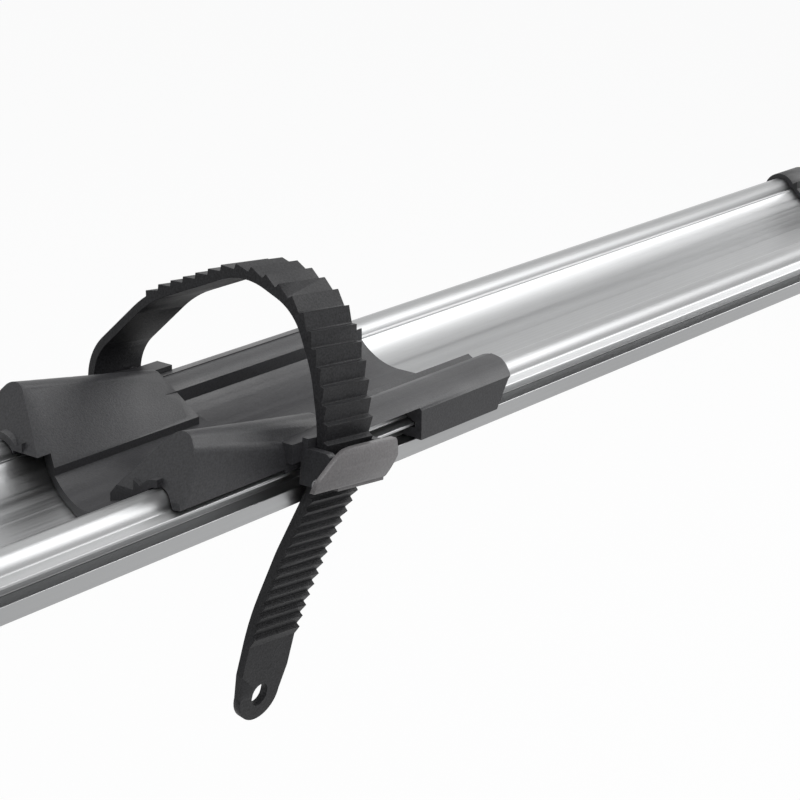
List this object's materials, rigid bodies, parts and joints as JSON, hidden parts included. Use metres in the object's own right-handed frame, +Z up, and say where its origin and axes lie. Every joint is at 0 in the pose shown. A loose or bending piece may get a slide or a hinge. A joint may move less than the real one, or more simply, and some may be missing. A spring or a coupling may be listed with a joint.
{
  "type": "roof mounted bike carrier",
  "caption": "Aluminium wheel tray on two roof bar feet, with sliding wheel holders, toothed straps with release tabs, and a folding arm whose screwed jaws grip a bicycle frame tube.",
  "frame": {"origin": "centre of the tray's flat underside", "axes": "+X along the tray towards the rear of the car, +Y across it, +Z up"},
  "size_m": [1.456, 0.31, 0.5912],
  "materials": {
    "tray_aluminium": "satin",
    "cast_aluminium": "satin",
    "holder_plastic": "matte",
    "black_plastic": "matte",
    "strap_rubber": "matte",
    "soft_rubber": "matte",
    "tab_plastic": "satin",
    "grey_plastic": "satin",
    "bush_plastic": "matte",
    "claw_alloy": "satin",
    "steel": "satin"
  },
  "bodies": {
    "carrier": {"tray": "tray_aluminium", "end_cap_rear": "black_plastic", "end_cap_front": "black_plastic", "front_foot": "black_plastic", "rear_foot": "black_plastic", "foot_pads": "soft_rubber", "slot_clips": "black_plastic", "clip_screws": "steel", "arm_bracket": "black_plastic", "bracket_screws": "steel", "pivot_pin": "steel", "pivot_nut": "steel"},
    "rear_holder": {"rear_saddle": "holder_plastic", "rear_strap": "strap_rubber", "rear_anchor_frame": "holder_plastic", "rear_anchor_pin": "steel", "rear_anchor_screws": "steel", "rear_buckle_frame": "holder_plastic", "rear_buckle_pin": "steel", "rear_buckle_screws": "steel", "rear_tab_spring": "steel"},
    "rear_tab": {"rear_buckle_tab": "tab_plastic"},
    "front_holder": {"front_saddle": "holder_plastic", "front_strap": "strap_rubber", "front_anchor_frame": "holder_plastic", "front_anchor_pin": "steel", "front_anchor_screws": "steel", "front_buckle_frame": "holder_plastic", "front_buckle_pin": "steel", "front_buckle_screws": "steel", "front_tab_spring": "steel"},
    "front_tab": {"front_buckle_tab": "tab_plastic"},
    "arm": {"arm_knuckle": "cast_aluminium", "arm_bushes": "bush_plastic", "arm_tube": "tray_aluminium", "arm_rivets": "steel", "head_body": "black_plastic", "fixed_pad": "soft_rubber", "jaw_pin": "steel", "lock_housing": "steel"},
    "jaw": {"moving_jaw": "black_plastic", "moving_pad": "soft_rubber"},
    "knob": {"torque_knob": "black_plastic", "knob_cap": "grey_plastic", "clamp_screw": "steel"},
    "jaw_nut": {"barrel_nut": "steel"},
    "lock": {"lock_barrel": "steel"},
    "clamp_knob_1": {"clamp_knob_1": "black_plastic", "clamp_bolt_1": "steel"},
    "clamp_claw_1": {"clamp_claw_1": "claw_alloy"},
    "clamp_knob_2": {"clamp_knob_2": "black_plastic", "clamp_bolt_2": "steel"},
    "clamp_claw_2": {"clamp_claw_2": "claw_alloy"},
    "clamp_knob_3": {"clamp_knob_3": "black_plastic", "clamp_bolt_3": "steel"},
    "clamp_claw_3": {"clamp_claw_3": "claw_alloy"},
    "clamp_knob_4": {"clamp_knob_4": "black_plastic", "clamp_bolt_4": "steel"},
    "clamp_claw_4": {"clamp_claw_4": "claw_alloy"}
  },
  "joints": [
    {"name": "rear_holder_slide", "type": "slide", "parent": "carrier", "child": "rear_holder", "axis": [1, 0, 0], "range_m": [-0.04, 0.15]},
    {"name": "front_holder_slide", "type": "slide", "parent": "carrier", "child": "front_holder", "axis": [1, 0, 0], "range_m": [-0.045, 0.03]},
    {"name": "rear_tab_press", "type": "hinge", "parent": "rear_holder", "child": "rear_tab", "pos_m": [0.38869, -0.0426, 0.00646], "axis": [0.9943, 0, -0.1063], "range_deg": [0, 30], "stiffness_Nm_per_rad": 0.01},
    {"name": "front_tab_press", "type": "hinge", "parent": "front_holder", "child": "front_tab", "pos_m": [-0.60131, -0.0426, 0.00646], "axis": [0.9943, 0, -0.1063], "range_deg": [0, 30], "stiffness_Nm_per_rad": 0.01},
    {"name": "arm_fold", "type": "hinge", "parent": "carrier", "child": "arm", "pos_m": [-0.23, 0, 0.048], "axis": [0, 1, 0], "range_deg": [-10, 90]},
    {"name": "knob_turn", "type": "hinge", "parent": "arm", "child": "knob", "pos_m": [-0.23, 0, 0.468], "axis": [0, -1, 0], "range_deg": [0, 1098]},
    {"name": "jaw_open", "type": "hinge", "parent": "arm", "child": "jaw", "pos_m": [-0.23, 0.025, 0.444], "axis": [-1, 0, 0], "range_deg": [0, 24.1]},
    {"name": "nut_travel", "type": "slide", "parent": "arm", "child": "jaw_nut", "axis": [0, 1, 0], "range_m": [0, 0.0123]},
    {"name": "lock_turn", "type": "hinge", "parent": "arm", "child": "lock", "pos_m": [-0.23, -0.034, 0.4355], "axis": [0, -1, 0], "range_deg": [0, 90]},
    {"name": "clamp_turn_1", "type": "hinge", "parent": "carrier", "child": "clamp_knob_1", "pos_m": [-0.404, -0.122, 0], "axis": [0, 0, 1], "range_deg": [0, 2916]},
    {"name": "claw_drop_1", "type": "slide", "parent": "carrier", "child": "clamp_claw_1", "axis": [0, 0, -1], "range_m": [0, 0.008]},
    {"name": "clamp_turn_2", "type": "hinge", "parent": "carrier", "child": "clamp_knob_2", "pos_m": [-0.404, 0.122, 0], "axis": [0, 0, 1], "range_deg": [0, 2916]},
    {"name": "claw_drop_2", "type": "slide", "parent": "carrier", "child": "clamp_claw_2", "axis": [0, 0, -1], "range_m": [0, 0.008]},
    {"name": "clamp_turn_3", "type": "hinge", "parent": "carrier", "child": "clamp_knob_3", "pos_m": [0.206, -0.066, 0], "axis": [0, 0, 1], "range_deg": [0, 2916]},
    {"name": "claw_drop_3", "type": "slide", "parent": "carrier", "child": "clamp_claw_3", "axis": [0, 0, -1], "range_m": [0, 0.008]},
    {"name": "clamp_turn_4", "type": "hinge", "parent": "carrier", "child": "clamp_knob_4", "pos_m": [0.206, 0.066, 0], "axis": [0, 0, 1], "range_deg": [0, 2916]},
    {"name": "claw_drop_4", "type": "slide", "parent": "carrier", "child": "clamp_claw_4", "axis": [0, 0, -1], "range_m": [0, 0.008]}
  ],
  "couplings": [
    {"joint": "jaw_open", "follows": "knob_turn", "ratio": 0.021858},
    {"joint": "nut_travel", "follows": "knob_turn", "m_per_rad": 0.00063662},
    {"joint": "clamp_turn_1", "follows": "claw_drop_1", "rad_per_m": 6283.2},
    {"joint": "clamp_turn_2", "follows": "claw_drop_2", "rad_per_m": 6283.2},
    {"joint": "clamp_turn_3", "follows": "claw_drop_3", "rad_per_m": 6283.2},
    {"joint": "clamp_turn_4", "follows": "claw_drop_4", "rad_per_m": 6283.2}
  ]
}
